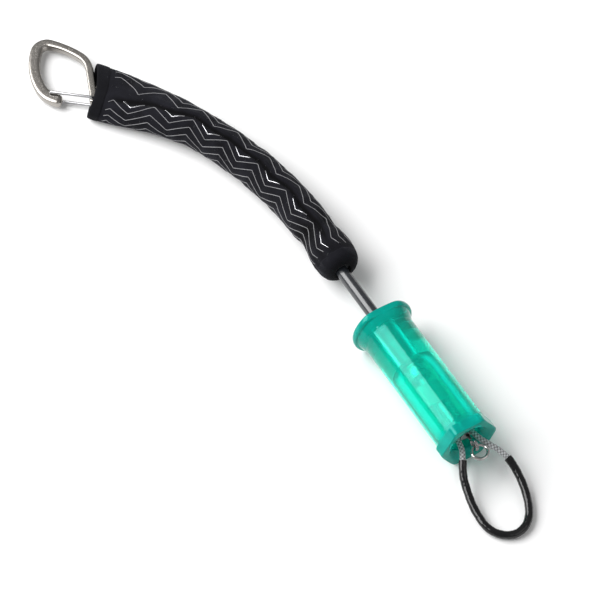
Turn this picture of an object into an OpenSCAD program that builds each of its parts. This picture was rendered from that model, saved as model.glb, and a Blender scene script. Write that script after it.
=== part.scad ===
// Lip grip: a bobbin handle slides and turns on a covered rod. The rod carries a gripping loop
// at one end and a floating sleeve with a spring-gate clip at the other.
// Millimetres, +Z up. The grip lies on the ground with +X along the handle towards the loop, and
// the origin is on the ground below the middle of the outline, the loop left out.

/* [Handle] */
// Length of the handle over both flanges
handle_length = 95.5; // [84:0.5:104]
// Radius of the handle's barrel
handle_radius = 15.6; // [14:0.2:16.4]
// How far the upper flange's lobes stand out from the barrel
upper_lobe = 3.6; // [2:0.2:3.6]
// How far the lower flange's lobes stand out from the barrel
lower_lobe = 3.4; // [2:0.2:3.6]
// Thickness of the lower flange's rim
rim_thickness = 6.5; // [4:0.5:8]
// Radius of the hollow that takes the rod's fittings and the loop's ends
hollow_radius = 9; // [8.8:0.1:10]

/* [Rod] */
// Radius of the black tube over the rod
tube_radius = 3.75; // [3:0.05:4.2]
// Radius of the rod inside the tube
rod_radius = 2.25; // [1.5:0.05:2.6]
// Length of rod that shows between the handle and the sleeve
rod_gap = 40.5; // [36:0.5:44]

/* [Sleeve] */
// Half width of the sleeve along its middle
sleeve_radius = 11.9; // [10:0.1:12.4]
// Half width of the sleeve's flattened mouth
mouth_half_width = 18.5; // [17:0.5:20]
// Half height of the mouth
mouth_half_height = 7; // [6.8:0.1:8]
// Thickness of the padded cover
cover_wall = 1.4; // [1:0.1:2]

/* [Clip] */
// Thickness of the clip's bar
bar_thickness = 5.8; // [5:0.1:6]
// Width of the bar at its base and along its spine
bar_width = 4.8; // [4:0.1:5.4]
// Extra width of the bar round its wide end
bar_flare = 2.2; // [0:0.1:3]
// Diameter of the gate's wire
gate_wire = 1.8; // [1.4:0.1:2]
// How far the clip dips from the mouth to the ground, in degrees
clip_dip = 4; // [3:0.5:4.5]

/* [Loop] */
// Diameter of the braided line
line_diameter = 3.4; // [3:0.1:3.6]
// Diameter of the black tube over the line
loop_cover_diameter = 4.8; // [4.4:0.1:5.4]

/* [Hidden] */
$fn = 64;

// Middle of the handle, seen from the origin
handle_x = 135.8;
handle_y = 32.773;

running_gap = 0.05;
seat_gap = 0.1;
flat_height = handle_radius + 0.5;
axis_z = flat_height;
upper_rim = 5;
flare = 7;
// The lower flange is a hexagon with flats above and below: half of each flat, half of the width
flat_half = 9.3;
corner_half = handle_radius + 3.7;
handle_face = 49;
handle_top = handle_face - handle_length;

// Bush, washer and collar inside the handle's upper wall
upper_wall = 36;
bush_radius = 4.75;
bush_bore = tube_radius + running_gap;
bush_head_radius = 7.6;
bush_head = 2.4;
washer_thickness = 1;
collar_radius = 6.4;
collar_length = 7;
shoulder_x = handle_top + upper_wall;
bush_head_x = shoulder_x + seat_gap;
washer_x = bush_head_x + bush_head;
collar_x = washer_x + washer_thickness + 0.3;
tube_end_x = collar_x + collar_length;

// Rod, its eye and the ring on the eye
sleeve_end_x = handle_top - rod_gap;
rod_inner_x = sleeve_end_x - 25;
rod_end_x = handle_face - 10;
eye_wire = 1;
eye_radius = 3.1;
eye_x = handle_face + 2;
shank_x = rod_end_x + 2;
eye_y = 2;
ring_wire = 0.9;
ring_radius = 4.6;
ring_dip = 2;
ring_pin_x = eye_x + eye_radius - eye_wire - ring_wire - 0.1;

// Route of the loop, from the ferrule in the handle, round on the ground and back
loop_floor = loop_cover_diameter / 2;
line_route = [[20, -4.6, 16.1], [30, -4.6, 16.1], [40, -4.6, 16.1], [46, -4.8, 16], [51, -6, 15.2],
    [55.5, -8.4, 13.4], [60, -11, 11], [65, -13, 8.5], [73, -15, 5.8], [82.5, -16.5, 4], [92, -16.4, 2.9],
    [98.6, -14, 2.5], [102.9, -9.7, 2.45], [104.8, -5, 2.45], [104.4, 0, 2.45], [101.9, 4.8, 2.45], [97, 9.2, 2.6],
    [90, 12.6, 3.4], [81, 15.2, 5.2], [72.5, 16, 7.6], [65, 15.4, 10.2], [58.6, 12.6, 12.8],
    [53, 9, 14.6], [47, 6.6, 15], [40, 5.8, 14.4], [31, 5, 15.6], [24, 4.6, 16.1], [20, 4.6, 16.1]];
cover_start = 5;
cover_stop = 20;
line_side_rings = 2;

// Curve of the sleeve's middle on the ground, from the rod to the mouth
sleeve_curve = [[sleeve_end_x, 1], [-170, 7], [-218, -8], [-282.5, -55]];
sleeve_sides = 24;
sleeve_rings = 26;
foam_bore = 6;
cord_radius = 1.9;

// Clip, in its own frame: the base of its bar lies along X and its wide end is towards +Y
clip_place = [-289.5, -53.2, 7];
clip_heading = 158;
bar_start = [-17, 1.4];
bar_heading = -28;
bar_steps = [[6, 28], [20, 0], [13, 42], [21, 20], [11, 98], [30, 38], [17, 54]];
bar_sides = 16;
gate_pivot = [-14.8, 0.4];
gate_angle = 69;
gate_length = 26.6;
gate_gap = 0.3;
gate_offset = bar_thickness / 2 + gate_gap + gate_wire / 2;
gate_bend = 1.2;
pin_depth = 1.8;
lug_place = [-8.5, -6.2];
lug_radius = 5.2;
lug_bore = 2.4;
lug_thickness = 4.4;
eye_cord_radius = 1.1;
eye_cord_bend = 4.2;
leash_heading = 36.6;

// ---- Curves and sweeps ----

function unit(v) = v / norm(v);
function smooth(u) = let (c = min(1, max(0, u))) c * c * (3 - 2 * c);
function mix(a, b, u) = a + (b - a) * u;
// A sine or cosine made blunter, for a section with flatter sides
function blunt(c, e) = sign(c) * pow(abs(c), e);

function bezier(p, t) = pow(1 - t, 3) * p[0] + 3 * pow(1 - t, 2) * t * p[1]
    + 3 * (1 - t) * t * t * p[2] + t * t * t * p[3];
function bezier_way(p, t) = unit(pow(1 - t, 2) * (p[1] - p[0]) + 2 * (1 - t) * t * (p[2] - p[1])
    + t * t * (p[3] - p[2]));

// A point of the smooth curve through route points i and i + 1
function spline(p, i, u) = let (
        a = p[max(i - 1, 0)], b = p[i], c = p[i + 1], d = p[min(i + 2, len(p) - 1)]
    ) b + (c - a) * u / 2 + (2 * a - 5 * b + 4 * c - d) * u * u / 2
        + (3 * b - a - 3 * c + d) * u * u * u / 2;
function spline_points(p, first, last, parts) = concat(
    [for (i = [first:last - 1], k = [0:parts - 1]) spline(p, i, k / parts)], [p[last]]);

// A ring of points round a centre, square to the way, with half width a and half height b
function ring_points(centre, way, a, b, sides) = let (
        side = unit(cross([0, 0, 1], way)), up = cross(way, side)
    ) [for (k = [0:sides - 1]) centre + side * a * cos(360 * k / sides) + up * b * sin(360 * k / sides)];

function route_rings(points, radius, sides) = let (n = len(points)) [for (i = [0:n - 1])
    ring_points(points[i], unit(points[min(i + 1, n - 1)] - points[max(i - 1, 0)]), radius, radius, sides)];

function joined(lists) = [for (list = lists, item = list) item];

// Quads between neighbouring rings that start at point number first
function band_faces(rings, sides, first, flip) = [for (i = [0:rings - 2], k = [0:sides - 1]) let (
        a = first + i * sides + k, b = first + i * sides + (k + 1) % sides, c = b + sides, d = a + sides
    ) each flip ? [[a, b, c], [a, c, d]] : [[a, c, b], [a, d, c]]];

// A closed solid through the rings
module swept(rings) {
    sides = len(rings[0]);
    last = (len(rings) - 1) * sides;
    polyhedron(points = joined(rings), faces = concat(
        band_faces(len(rings), sides, 0, false),
        [[for (k = [0:sides - 1]) k]],
        [[for (k = [sides - 1:-1:0]) last + k]]));
}

// A tube with its walls between two sets of rings, open at both ends
module swept_tube(outer, inner) {
    sides = len(outer[0]);
    count = len(outer);
    shift = count * sides;
    last = (count - 1) * sides;
    polyhedron(points = concat(joined(outer), joined(inner)), faces = concat(
        band_faces(count, sides, 0, false),
        band_faces(count, sides, shift, true),
        [for (k = [0:sides - 1]) let (n = (k + 1) % sides) each
            [[k, shift + n, shift + k], [k, n, shift + n]]],
        [for (k = [0:sides - 1]) let (n = (k + 1) % sides) each
            [[last + k, shift + last + n, last + n], [last + k, shift + last + k, shift + last + n]]]));
}

// ---- Placing ----

module placed() translate([handle_x, handle_y, 0]) children();

// Turns a shape made along +Z to lie along the handle's axis from x
module on_axis(x, y = 0) placed() translate([x, y, axis_z]) rotate([0, 90, 0]) children();

module at_clip() placed() translate(clip_place) rotate([0, 0, clip_heading]) rotate([-clip_dip, 0, 0])
    children();

module bush_ring(radius, bore, length) difference() {
    cylinder(r = radius, h = length);
    translate([0, 0, -1]) cylinder(r = bore, h = length + 2);
}

// ---- Handle ----

// A disc's section with rounded corners, between two heights
module rounded_rim(radius, from, to, edge) {
    translate([0, from + edge]) square([radius, to - from - 2 * edge]);
    translate([0, from]) square([radius - edge, to - from]);
    for (z = [from + edge, to - edge]) translate([radius - edge, z]) circle(r = edge);
}

// Half of the handle's long section, from the axis outwards, with the upper end at 0
module bobbin_profile() difference() {
    union() {
        square([handle_radius, handle_length]);
        rounded_rim(handle_radius + upper_lobe, 0, upper_rim, 1.6);
        rounded_rim(handle_radius + lower_lobe, handle_length - rim_thickness, handle_length, 1.2);
        // hollow flare from the barrel up to the upper rim
        difference() {
            translate([0, upper_rim - 1]) square([handle_radius + upper_lobe - 0.2, flare + 1]);
            translate([handle_radius + flare, upper_rim + flare]) circle(r = flare);
        }
    }
    // dished lower face
    polygon([[-1, handle_length - 3], [hollow_radius, handle_length - 3], [12.5, handle_length + 0.01],
        [-1, handle_length + 0.01]]);
    // upper face sloping down to its rim
    polygon([[8, -0.01], [handle_radius + upper_lobe + 1, -0.01], [handle_radius + upper_lobe + 1, 2.2]]);
}

module handle_body() color("mediumturquoise") on_axis(handle_top) difference() {
    intersection() {
        rotate_extrude() bobbin_profile();
        union() {
            // two flats on the round upper flange
            translate([-flat_height, -25, -1]) cube([2 * flat_height, 50, handle_length / 2 + 2]);
            // six on the lower one
            translate([0, 0, handle_length / 2]) linear_extrude(handle_length / 2 + 1) polygon([
                [flat_height, flat_half], [0, corner_half], [-flat_height, flat_half],
                [-flat_height, -flat_half], [0, -corner_half], [flat_height, -flat_half]]);
        }
    }
    translate([0, 0, -1]) cylinder(r = bush_radius + running_gap, h = upper_wall + 2);
    translate([0, 0, upper_wall]) cylinder(r = hollow_radius, h = handle_length);
}

module slide_bush() color("white") {
    on_axis(handle_top + 1.6) bush_ring(bush_radius, bush_bore, bush_head_x - handle_top - 1.6);
    on_axis(bush_head_x) bush_ring(bush_head_radius, bush_bore, bush_head);
}

module thrust_washer() color("silver") on_axis(washer_x) bush_ring(bush_head_radius - 0.6, bush_bore + 0.1, washer_thickness);

// ---- Rod ----

module rod_core() color("dimgray") on_axis(rod_inner_x) cylinder(r = rod_radius, h = rod_end_x - rod_inner_x);

module rod_tube() color("black") on_axis(rod_inner_x + 8)
    bush_ring(tube_radius, rod_radius, tube_end_x - rod_inner_x - 8);

module stop_collar() color("silver") on_axis(collar_x) bush_ring(collar_radius, tube_radius, collar_length);

// Flat double crimp: the rod runs through its middle and a leg of the loop ends at each side
module loop_ferrule() color("silver") on_axis(6) difference() {
    intersection() {
        cylinder(r = 6.9, h = 14);
        translate([-3.6, -7, -1]) cube([7.2, 14, 16]);
    }
    translate([0, 0, -1]) cylinder(r = rod_radius, h = 16);
}

module end_eye() color("silver") placed() {
    translate([eye_x, eye_y, axis_z]) rotate([90, 0, 0])
        rotate_extrude() translate([eye_radius, 0]) circle(r = eye_wire);
    translate([shank_x, eye_y, axis_z]) rotate([0, 90, 0]) cylinder(r = eye_wire, h = eye_x - eye_radius - shank_x);
}

// Crimp that holds the eye's shank beside the rod's end
module eye_crimp() color("gray") placed() difference() {
    translate([rod_end_x - 4, 0.6, axis_z]) rotate([0, 90, 0]) cylinder(r = 3.2, h = 9.4);
    translate([rod_end_x - 5, 0, axis_z]) rotate([0, 90, 0]) cylinder(r = rod_radius, h = 5);
    translate([shank_x, eye_y, axis_z]) rotate([0, 90, 0]) cylinder(r = eye_wire, h = 9);
}

module keeper_ring() color("silver") placed() translate([ring_pin_x, eye_y, axis_z]) rotate([0, ring_dip, 0])
    translate([ring_radius, 0, 0]) rotate_extrude() translate([ring_radius, 0]) circle(r = ring_wire);

// ---- Loop ----

module loop_line() color("silver") placed()
    swept(route_rings(spline_points(line_route, 0, len(line_route) - 1, line_side_rings), line_diameter / 2, 8));

module loop_cover() color("black") placed() {
    route = spline_points(line_route, cover_start, cover_stop, line_side_rings);
    swept_tube(route_rings(route, loop_cover_diameter / 2, 8), route_rings(route, line_diameter / 2 + seat_gap, 8));
}

// ---- Sleeve ----

// Half width and half height of the sleeve at t, from the rod's end at 0 to the mouth at 1
function sleeve_half_width(t) = mix(sleeve_radius, mouth_half_width, smooth((t - 0.62) / 0.38))
    + 1.0 * (1 - smooth(abs(t - 0.06) / 0.07));
function sleeve_half_height(t) = mix(sleeve_radius, mouth_half_height, smooth((t - 0.66) / 0.34))
    + 0.8 * (1 - smooth(abs(t - 0.06) / 0.07));
function sleeve_z(t) = mix(sleeve_radius + 0.8, mouth_half_height, smooth((t - 0.66) / 0.34))
    + (axis_z - sleeve_radius - 0.8) * (1 - smooth(t / 0.55));

// A ring of the sleeve, smaller all round by inset; the mouth's lips slant by its last part
function sleeve_ring(t, inset) = let (
        c = bezier(sleeve_curve, t), w = bezier_way(sleeve_curve, t), side = [-w[1], w[0]],
        a = sleeve_half_width(t) - inset, b = sleeve_half_height(t) - inset,
        slant = smooth((t - 0.86) / 0.14),
        e = mix(1, 0.7, smooth((t - 0.7) / 0.3))
    ) [for (k = [0:sleeve_sides - 1]) let (
        x = a * blunt(cos(360 * k / sleeve_sides), e), z = b * blunt(sin(360 * k / sleeve_sides), e),
        ahead = -slant * (0.22 * x + 0.3 * z)
    ) [c[0] + side[0] * x + w[0] * ahead, c[1] + side[1] * x + w[1] * ahead, sleeve_z(t) + z]];

function sleeve_rings_between(from, to, count, inset) =
    [for (i = [0:count]) sleeve_ring(mix(from, to, i / count), inset)];

module sleeve_cover() color("#26262b") placed() swept_tube(
    sleeve_rings_between(0.03, 0.98, sleeve_rings, 0),
    sleeve_rings_between(0.03, 0.98, sleeve_rings, cover_wall));

// Rolled end of the cover round the rod's plug
module sleeve_hem() color("#202024") placed() {
    steps = 6;
    hem_t = [for (i = [steps:-1:0]) 0.03 * (1 - sin(90 * i / steps) * 0.98)];
    hem_inset = [for (i = [steps:-1:0]) 3.2 * (1 - cos(90 * i / steps))];
    swept_tube([for (i = [0:steps]) sleeve_ring(hem_t[i], hem_inset[i])],
        [for (i = [0:steps]) sleeve_ring(hem_t[i], 3.8)]);
}

module sleeve_plug() color("#151517") placed() difference() {
    swept([for (t = [0.008, 0.03]) sleeve_ring(t, 3.9)]);
    translate([sleeve_end_x - 20, 0, axis_z]) rotate([0, 90, 0]) cylinder(r = tube_radius, h = 40);
}

// Turned edge of the cover at the mouth
module mouth_binding() color("#1c1c20") placed() swept_tube(
    sleeve_rings_between(0.98, 1, 2, 0),
    sleeve_rings_between(0.98, 1, 2, cover_wall));

// Foam tube that fills the cover, round a bore for the rod and the cord
function foam_bore_ring(t) = let (c = bezier(sleeve_curve, t), w = bezier_way(sleeve_curve, t))
    ring_points([c[0], c[1], sleeve_z(t)], [w[0], w[1], 0], foam_bore, min(foam_bore, sleeve_half_height(t) - 3),
        sleeve_sides);

module foam_core() color("gray") placed() swept_tube(
    sleeve_rings_between(0.04, 0.84, 20, cover_wall + seat_gap),
    [for (i = [0:20]) foam_bore_ring(mix(0.04, 0.84, i / 20))]);

module leash_cord() color("dimgray") placed() {
    middle = [for (i = [0:20]) let (t = mix(0.2, 0.85, i / 20), c = bezier(sleeve_curve, t))
        [c[0], c[1], sleeve_z(t)]];
    route = concat([[rod_inner_x - 5, 0, axis_z], [rod_inner_x - 10, 0.3, axis_z - 0.1]], middle,
        [lug_point() + leash_way(20), lug_point() + leash_way(16.6)]);
    swept(route_rings(route, cord_radius, 8));
}

module rod_ferrule() color("silver") on_axis(rod_inner_x - 5) bush_ring(3.2, rod_radius, 12);

// ---- Clip ----

// The bar's middle line: place and heading after each step of length and turn
function arc_end(p, h, length, turn) = abs(turn) < 0.01
    ? p + length * [cos(h), sin(h)]
    : let (r = length / (turn * PI / 180)) p + r * [sin(h + turn) - sin(h), cos(h) - cos(h + turn)];
function bar_pose(i) = i == 0 ? [bar_start, bar_heading] : let (
        before = bar_pose(i - 1), s = bar_steps[i - 1]
    ) [arc_end(before[0], before[1], s[0], s[1]), before[1] + s[1]];
function bar_along(i) = i == 0 ? 0 : bar_along(i - 1) + bar_steps[i - 1][0];

bar_ring_step = 2.5;
bar_length = bar_along(len(bar_steps));

// Places, headings and distances of the bar's rings
function bar_stations() = concat([for (i = [0:len(bar_steps) - 1]) let (
        s = bar_steps[i], pose = bar_pose(i), n = ceil(s[0] / bar_ring_step)
    ) each [for (k = [0:n - 1]) let (u = k / n)
        [arc_end(pose[0], pose[1], s[0] * u, s[1] * u), pose[1] + s[1] * u, bar_along(i) + s[0] * u]]],
    [[bar_pose(len(bar_steps))[0], bar_pose(len(bar_steps))[1], bar_length]]);

// The forged bar widens from its spine to its wide end
function bar_half_width(d) = (bar_width + bar_flare * smooth((d - 50) / 25)) / 2;

// A flattened round section: the middle of its faces is nearly level
function bar_ring(p, h, a, b) = [for (k = [0:bar_sides - 1]) let (
        c = cos(360 * k / bar_sides), s = sin(360 * k / bar_sides),
        x = blunt(c, 0.62) * a, z = blunt(s, 0.62) * b
    ) [p[0] - sin(h) * x, p[1] + cos(h) * x, z]];

// Rounded ends: rings that shrink over the last stretch
function end_shrink(d) = let (e = min(d, bar_length - d) / 2.4) e >= 1 ? 1 : sqrt(1 - pow(1 - e, 2)) * 0.75 + 0.25;

module clip_bar() swept([for (s = bar_stations()) bar_ring(s[0], s[1],
    bar_half_width(s[2]) * end_shrink(s[2]), bar_thickness / 2 * end_shrink(s[2]))]);

module clip_frame() color("silver") at_clip() difference() {
    union() {
        clip_bar();
        translate([lug_place[0], lug_place[1], -lug_thickness / 2]) cylinder(r = lug_radius, h = lug_thickness);
    }
    translate([lug_place[0], lug_place[1], -bar_thickness]) cylinder(r = lug_bore, h = 2 * bar_thickness);
    // holes for the gate's turned-in ends
    for (side = [-1, 1]) translate([gate_pivot[0], gate_pivot[1], side * (bar_thickness / 2 - pin_depth / 2 + 1)])
        cylinder(r = gate_wire / 2 + running_gap, h = pin_depth + 2, center = true);
    // notch behind the nose, where the gate's end seats
    translate(gate_pivot) rotate([0, 0, gate_angle]) translate([gate_length, 0, -bar_thickness]) {
        cylinder(d = gate_wire + 2 * gate_gap, h = 2 * bar_thickness);
        translate([-gate_wire / 2 - gate_gap, -5, 0]) cube([gate_wire + 2 * gate_gap, 5, 2 * bar_thickness]);
    }
}

// Quarter bend of wire from +X down to -Z about the origin's corner
module wire_bend() rotate([90, 0, 0]) rotate_extrude(angle = 90) translate([gate_bend, 0]) circle(d = gate_wire);

module clip_gate() color("lightgray") at_clip() translate(gate_pivot) rotate([0, 0, gate_angle]) {
    straight = gate_length - 2 * gate_bend;
    for (side = [-1, 1]) mirror([0, 0, side < 0 ? 1 : 0]) {
        translate([gate_bend, 0, gate_offset]) rotate([0, 90, 0]) cylinder(d = gate_wire, h = straight);
        translate([gate_bend, 0, gate_offset - gate_bend]) rotate([0, 0, 180]) wire_bend();
        translate([gate_length - gate_bend, 0, gate_offset - gate_bend]) wire_bend();
        translate([0, 0, bar_thickness / 2 - pin_depth + 0.1])
            cylinder(d = gate_wire, h = gate_offset - gate_bend - bar_thickness / 2 + pin_depth - 0.1);
    }
    translate([gate_length, 0, gate_bend - gate_offset]) cylinder(d = gate_wire, h = 2 * (gate_offset - gate_bend));
}

// Loop of cord through the clip's lug, in line with the leash
function lug_point() = clip_place + [
    cos(clip_heading) * lug_place[0] - sin(clip_heading) * lug_place[1],
    sin(clip_heading) * lug_place[0] + cos(clip_heading) * lug_place[1],
    -lug_place[1] * sin(clip_dip)];
function leash_way(d) = d * [cos(leash_heading), sin(leash_heading), 0];

module cord_eye() color("dimgray") placed() translate(lug_point() + leash_way(eye_cord_bend))
    rotate([90, 0, leash_heading]) rotate_extrude() translate([eye_cord_bend, 0]) circle(r = eye_cord_radius);

module eye_ferrule() color("silver") placed()
    translate(lug_point() + leash_way(2 * eye_cord_bend)) rotate([0, 90, leash_heading])
        cylinder(r = 2.8, h = 16.6 - 2 * eye_cord_bend);

clip_frame();
clip_gate();
sleeve_cover();
mouth_binding();
sleeve_hem();
sleeve_plug();
foam_core();
leash_cord();
cord_eye();
eye_ferrule();
rod_ferrule();
rod_core();
rod_tube();
stop_collar();
loop_ferrule();
end_eye();
eye_crimp();
keeper_ring();
thrust_washer();
slide_bush();
handle_body();
loop_line();
loop_cover();
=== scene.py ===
import math

import bmesh
import bpy
from bpy.props import FloatProperty, FloatVectorProperty, IntProperty, PointerProperty
from mathutils import Matrix, Vector


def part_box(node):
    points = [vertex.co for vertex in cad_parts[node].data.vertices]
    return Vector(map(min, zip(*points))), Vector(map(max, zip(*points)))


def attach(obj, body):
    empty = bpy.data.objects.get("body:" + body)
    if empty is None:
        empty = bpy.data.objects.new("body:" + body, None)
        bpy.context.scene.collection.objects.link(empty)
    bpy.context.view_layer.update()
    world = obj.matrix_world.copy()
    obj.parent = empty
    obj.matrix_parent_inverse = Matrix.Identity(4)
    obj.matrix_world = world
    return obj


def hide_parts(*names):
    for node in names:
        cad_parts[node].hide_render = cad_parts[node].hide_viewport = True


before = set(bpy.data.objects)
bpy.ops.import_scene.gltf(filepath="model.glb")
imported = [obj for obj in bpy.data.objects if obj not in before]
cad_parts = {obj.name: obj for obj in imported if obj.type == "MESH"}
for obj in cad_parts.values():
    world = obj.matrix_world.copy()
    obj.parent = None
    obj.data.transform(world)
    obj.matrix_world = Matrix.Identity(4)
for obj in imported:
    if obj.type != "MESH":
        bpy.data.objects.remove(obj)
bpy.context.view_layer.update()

bl_info = {
    "name": "Lip Grip",
    "version": (1, 0, 0),
    "blender": (4, 5, 0),
    "location": "3D View > Sidebar > Lip Grip",
    "description": "Builds a lip grip: bobbin handle, covered rod, gripping loop, floating sleeve and wire-gate clip",
    "category": "Add Mesh",
}

MM = 0.001
UP = Vector((0, 0, 1))

# Places and sizes repeated from the part's source, in millimetres
HANDLE = Vector((135.8, 32.773, 0))
AXIS_Z = 16.1
HANDLE_TOP = -46.5
HANDLE_FACE = 49
BARREL = 15.6
UPPER_RIM_RADIUS = 19.2
LOWER_RIM_RADIUS = 19.0
FLAT_HEIGHT = 16.1
HOLLOW_RADIUS = 9
SHOULDER_X = -10.5
BUSH_HOLE = 4.8
SLEEVE_END_X = -87
TUBE_RADIUS = 3.75
ROD_INNER_X = -112
SLEEVE_RADIUS = 11.9
MOUTH_HALF_WIDTH = 18.5
MOUTH_HALF_HEIGHT = 7
COVER_WALL = 1.4
CLEAR_OF_FLOOR = 0.35
FOAM_BORE = 6
LEASH_RADIUS = 1.9
SLEEVE_CURVE = [(SLEEVE_END_X, 1), (-170, 7), (-218, -8), (-282.5, -55)]
CLIP_PLACE = Vector((-289.5, -53.2, 7))
CLIP_HEADING = math.radians(158)
CLIP_DIP = math.radians(4)
LUG_PLACE = (-8.5, -6.2)
EYE_CORD_BEND = 4.2
EYE_CORD_RADIUS = 1.1
LEASH_HEADING = math.radians(36.6)
LINE_RADIUS = 1.7
LOOP_COVER_RADIUS = 2.4
LINE_ROUTE = [
    (20, -4.6, 16.1), (30, -4.6, 16.1), (40, -4.6, 16.1), (46, -4.8, 16), (51, -6, 15.2),
    (55.5, -8.4, 13.4), (60, -11, 11), (65, -13, 8.5), (73, -15, 5.8), (82.5, -16.5, 4), (92, -16.4, 2.9),
    (98.6, -14, 2.5), (102.9, -9.7, 2.45), (104.8, -5, 2.45), (104.4, 0, 2.45), (101.9, 4.8, 2.45), (97, 9.2, 2.6),
    (90, 12.6, 3.4), (81, 15.2, 5.2), (72.5, 16, 7.6), (65, 15.4, 10.2), (58.6, 12.6, 12.8),
    (53, 9, 14.6), (47, 6.6, 15), (40, 5.8, 14.4), (31, 5, 15.6), (24, 4.6, 16.1), (20, 4.6, 16.1)]
COVER_START, COVER_STOP = 5, 20
BAR_START, BAR_HEADING = (-17, 1.4), -28
BAR_STEPS = [(6, 28), (20, 0), (13, 42), (21, 20), (11, 98), (30, 38), (17, 54)]
BAR_WIDTH, BAR_FLARE, BAR_THICKNESS = 4.8, 2.2, 5.8
GATE_PIVOT = Vector((-14.8, 0.4))
GATE_ANGLE = math.radians(69)
GATE_LENGTH = 26.6


# ---- Curves and surfaces ----

def smooth(u):
    c = min(1.0, max(0.0, u))
    return c * c * (3 - 2 * c)


def mix(a, b, u):
    return a + (b - a) * u


def hump(x, width):
    """1 at x = 0, falling to 0 over a few widths."""
    return math.exp(-(x / width) ** 2)


def blunt(c, e):
    return math.copysign(abs(c) ** e, c)


def angles(count):
    """Evenly spaced angles of a full turn."""
    return [2 * math.pi * k / count for k in range(count)]


def quarter(count):
    """Evenly spaced angles of a quarter turn, without the first."""
    return [math.pi / 2 * k / count for k in range(1, count + 1)]


def route_point(route, i, u):
    """A point of the smooth curve through route points i and i + 1."""
    last = len(route) - 1
    a, b, c, d = (Vector(route[k]) for k in (max(i - 1, 0), i, i + 1, min(i + 2, last)))
    return (b + (c - a) * u / 2 + (2 * a - 5 * b + 4 * c - d) * u * u / 2
            + (3 * b - a - 3 * c + d) * u * u * u / 2)


def smooth_route(route, first, last, parts):
    points = [route_point(route, i, k / parts) for i in range(first, last) for k in range(parts)]
    return points + [Vector(route[last])]


def evened(points, step):
    """The same line with its points about a step apart."""
    lengths = [0.0]
    for a, b in zip(points, points[1:]):
        lengths.append(lengths[-1] + (b - a).length)
    count = max(2, round(lengths[-1] / step))
    out, k = [], 0
    for j in range(count + 1):
        want = lengths[-1] * j / count
        while k < len(points) - 2 and lengths[k + 1] < want:
            k += 1
        span = lengths[k + 1] - lengths[k]
        out.append(points[k].lerp(points[k + 1], (want - lengths[k]) / span if span else 0))
    return out


def line_length(points):
    return sum((b - a).length for a, b in zip(points, points[1:]))


def frames(points):
    """Side and up directions, square to the line, at each point."""
    out = []
    for i in range(len(points)):
        way = (points[min(i + 1, len(points) - 1)] - points[max(i - 1, 0)]).normalized()
        side = UP.cross(way)
        side = side.normalized() if side.length > 1e-6 else Vector((0, 1, 0))
        out.append((side, way.cross(side)))
    return out


def tube_rings(points, radius, sides):
    """Rings round a line. radius is a number, or a function of angle and distance along."""
    rings, distances, along = [], [], 0.0
    for i, (p, (side, up)) in enumerate(zip(points, frames(points))):
        if i:
            along += (p - points[i - 1]).length
        distances.append(along)
        ring = []
        for angle in angles(sides):
            r = radius(angle, along) if callable(radius) else radius
            ring.append(p + side * (r * math.cos(angle)) + up * (r * math.sin(angle)))
        rings.append(ring)
    return rings, distances


def shell(rings, distances=None, ends="cap"):
    """Points, faces and run coordinates of a skin through rings. ends is cap, or loop for a ring of rings."""
    sides, n = len(rings[0]), len(rings)
    distances = distances or list(range(n))
    points = [p for ring in rings for p in ring]
    faces, runs = [], []
    total = distances[-1] + (distances[-1] - distances[-2])
    for i in range(n if ends == "loop" else n - 1):
        j = (i + 1) % n
        for k in range(sides):
            m = (k + 1) % sides
            faces.append((i * sides + k, i * sides + m, j * sides + m, j * sides + k))
            low, high = distances[i], distances[j] if j else total
            runs.append(((k / sides, low), ((k + 1) / sides, low), ((k + 1) / sides, high), (k / sides, high)))
    if ends == "cap":
        for start, order in ((0, -1), ((n - 1) * sides, 1)):
            ring = [start + k for k in range(sides)][::order]
            centre = len(points)
            points.append(sum((points[i] for i in ring), Vector()) / sides)
            for k in range(sides):
                faces.append((ring[k], ring[(k + 1) % sides], centre))
                runs.append(((0, 0), (0, 0), (0, 0)))
    return points, faces, runs


def piece(name, skin, material, body, stands_for=(), sharp=40, heights=None):
    """A finished mesh object in the row frame, from a skin in millimetres.

    heights gives each point's place between the hollows, 0, and the tops, 1, for the finish to read; the finishes paint
    the low points darker, as painted shade."""
    points, faces, runs = skin
    mesh = bpy.data.meshes.new(name)
    mesh.from_pydata([Vector(p) * MM for p in points], [], faces)
    if heights:
        store = mesh.attributes.new("height", "FLOAT", "POINT")
        store.data.foreach_set("value", heights + [0.5] * (len(points) - len(heights)))
    layer = mesh.uv_layers.new(name="run")
    corner = 0
    for face in runs:
        for u, v in face:
            layer.data[corner].uv = (u, v * MM)
            corner += 1
    return finished(name, mesh, material, body, stands_for, sharp)


def face_outwards(mesh):
    """Joins doubled points and turns every face of a closed mesh outwards."""
    bm = bmesh.new()
    bm.from_mesh(mesh)
    bmesh.ops.remove_doubles(bm, verts=bm.verts, dist=1e-7)
    bmesh.ops.recalc_face_normals(bm, faces=bm.faces)
    if bm.calc_volume(signed=True) < 0:
        bmesh.ops.reverse_faces(bm, faces=bm.faces)
    bm.to_mesh(mesh)
    bm.free()


def placed(name, data):
    """A new object in the scene, at the origin."""
    obj = bpy.data.objects.new(name, data)
    bpy.context.scene.collection.objects.link(obj)
    return obj


def finished(name, mesh, material, body, stands_for=(), sharp=40):
    """Turns the mesh's faces outwards, shades it and puts it on its body."""
    face_outwards(mesh)
    mesh.shade_smooth()
    mesh.set_sharp_from_angle(angle=math.radians(sharp))
    mesh.materials.clear()
    mesh.materials.append(material)
    obj = placed(name, mesh)
    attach(obj, body)
    if stands_for:
        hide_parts(*stands_for)
    return obj


def applied(obj):
    """The object's mesh with its modifiers applied."""
    graph = bpy.context.evaluated_depsgraph_get()
    graph.update()
    return bpy.data.meshes.new_from_object(obj.evaluated_get(graph), depsgraph=graph)


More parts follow.
